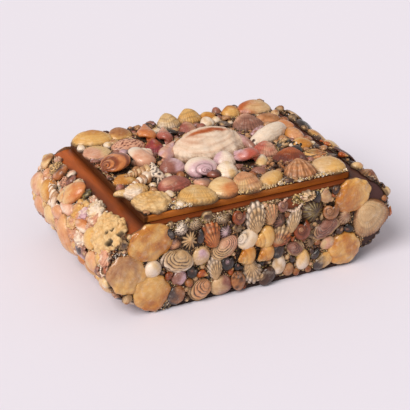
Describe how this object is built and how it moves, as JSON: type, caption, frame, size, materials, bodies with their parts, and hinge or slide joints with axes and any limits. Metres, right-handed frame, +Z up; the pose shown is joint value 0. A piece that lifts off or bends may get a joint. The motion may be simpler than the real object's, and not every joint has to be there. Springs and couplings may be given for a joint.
{
  "type": "shell box",
  "caption": "Low wooden keepsake box with rolled ends and a loose lid board, its lid, sides and ends set with sea shells in sand and glue.",
  "frame": {"origin": "middle of the underside of the base board, on the surface that the box stands on", "axes": "+Z up, +X to the right as the front is looked at, -Y out of the front"},
  "size_m": [0.3172, 0.2096, 0.1201],
  "materials": {
    "stained_wood": "red-brown stain under a satin varnish",
    "base_wood": "dark stain, unvarnished",
    "sand_and_glue": "coarse shell sand bound in brown glue",
    "golden_shell": "thin translucent golden shell under a light varnish",
    "pale_shell": "cream to white shell under a light varnish",
    "orange_shell": "peach, tan and orange shell under a light varnish",
    "pink_shell": "pink, lilac and wine-red shell under a light varnish",
    "dark_shell": "slate and brown shell under a light varnish"
  },
  "bodies": {
    "root": {"front_board": "stained_wood", "back_board": "stained_wood", "left_end": "stained_wood", "right_end": "stained_wood", "lid_board": "stained_wood", "base_board": "base_wood", "lid_shell_bed": "sand_and_glue", "front_shell_bed": "sand_and_glue", "back_shell_bed": "sand_and_glue", "left_shell_bed": "sand_and_glue", "right_shell_bed": "sand_and_glue", "lid_rough_valve": "pale_shell", "lid_yellow_fan": "golden_shell", "lid_butter_clam": "pale_shell", "lid_apricot_cockle": "orange_shell", "lid_peach_cockle": "orange_shell", "lid_corner_clam": "golden_shell", "lid_broken_valve": "pale_shell", "lid_rose_cockle": "pink_shell", "lid_white_turret": "pale_shell", "lid_banded_snail": "orange_shell", "lid_white_snail": "pale_shell", "lid_flat_clam": "pink_shell", "lid_golden_clam": "golden_shell", "lid_speckled_venus": "pink_shell", "lid_crimson_scallop": "pink_shell", "lid_orange_whelk": "orange_shell", "lid_pink_whelk": "pink_shell", "lid_great_oyster": "pale_shell", "lid_long_white_clam": "pale_shell", "lid_salmon_scallop": "pink_shell", "lid_wine_scallop": "pink_shell", "lid_lilac_snail": "pink_shell", "lid_dusky_clam": "pink_shell", "lid_lilac_clam": "pink_shell", "lid_white_clam": "pale_shell", "lid_rosy_snail": "pink_shell", "lid_tan_clam": "orange_shell", "lid_dusky_cockle": "pink_shell", "lid_cream_cockle": "pale_shell", "lid_butter_cockle": "pale_shell", "lid_back_corner_clam": "orange_shell", "front_left_top_jingle": "golden_shell", "front_left_jingle": "golden_shell", "front_left_foot_jingle": "golden_shell", "front_right_top_jingle": "golden_shell", "front_right_fan": "orange_shell", "front_right_foot_jingle": "golden_shell", "front_banded_venus": "pale_shell", "front_ribbed_venus": "pale_shell", "front_tall_scallop": "pale_shell", "front_dark_limpet": "dark_shell", "left_barnacled_oyster": "pale_shell", "left_orange_snail": "orange_shell", "left_long_peach_clam": "orange_shell", "back_left_jingle": "golden_shell", "back_left_fan": "orange_shell", "back_right_jingle": "golden_shell", "back_right_side_jingle": "golden_shell"}
  },
  "joints": []
}
